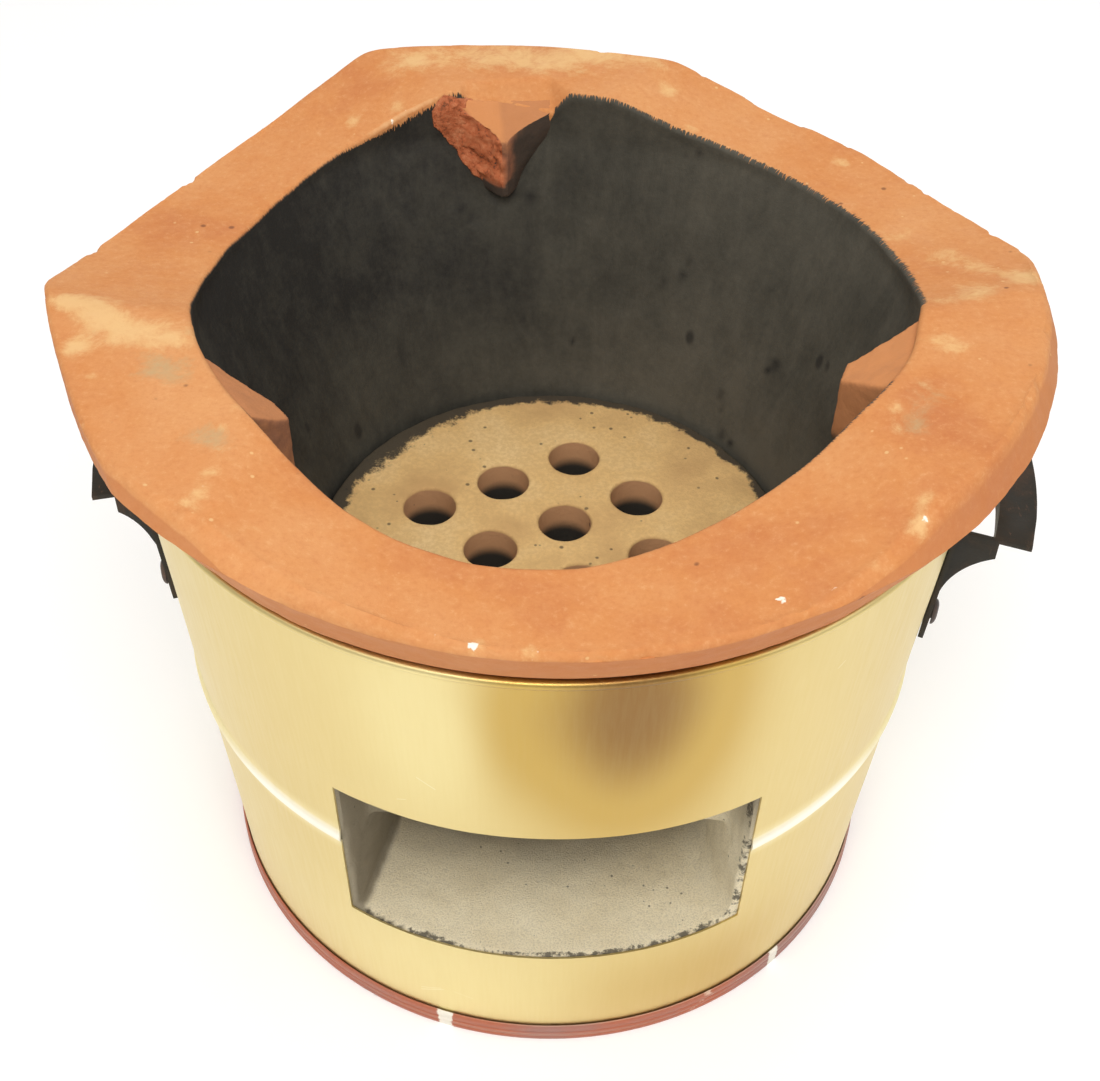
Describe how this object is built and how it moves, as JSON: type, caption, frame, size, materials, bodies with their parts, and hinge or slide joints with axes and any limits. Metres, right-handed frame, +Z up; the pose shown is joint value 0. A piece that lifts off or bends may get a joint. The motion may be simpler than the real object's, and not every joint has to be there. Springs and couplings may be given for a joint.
{
  "type": "charcoal clay stove",
  "caption": "Portable charcoal stove: a fired clay fire bowl with a lobed rim, pot rests and a loose clay grate, set in a tapered tin bucket with an air opening and side handles.",
  "frame": {"origin": "on the stove's axis, at the plane of the foot ring that it stands on", "axes": "+Z up along the axis; +X to the right handle; the air opening faces -Y"},
  "size_m": [0.3, 0.2801, 0.231],
  "materials": {
    "gold_tin": "gold lacquer on tinplate, satin",
    "foot_tin": "red-brown paint, satin",
    "terracotta": "fired clay, matt, sooted inside",
    "grate_clay": "pale fired clay, matt",
    "rest_clay": "fired clay, matt, sooted",
    "mortar": "grey mortar, rough",
    "handle_iron": "black paint, worn",
    "rivet_iron": "painted over, worn",
    "ash": "packed ash, loose"
  },
  "bodies": {
    "stove": {"tin_wall": "gold_tin", "base_pan": "foot_tin", "fire_bowl": "terracotta", "pot_rest_back": "rest_clay", "pot_rest_left": "rest_clay", "pot_rest_right": "rest_clay", "duct_lining": "mortar", "handle_left": "handle_iron", "handle_right": "handle_iron", "handle_rivets": "rivet_iron", "insulation_fill": "ash", "ash_bedding": "ash"},
    "loose_grate": {"grate": "grate_clay"}
  },
  "joints": [
    {"name": "grate_lift", "type": "slide", "parent": "stove", "child": "loose_grate", "axis": [0, 0, 1], "range_m": [0, 0.135]}
  ]
}
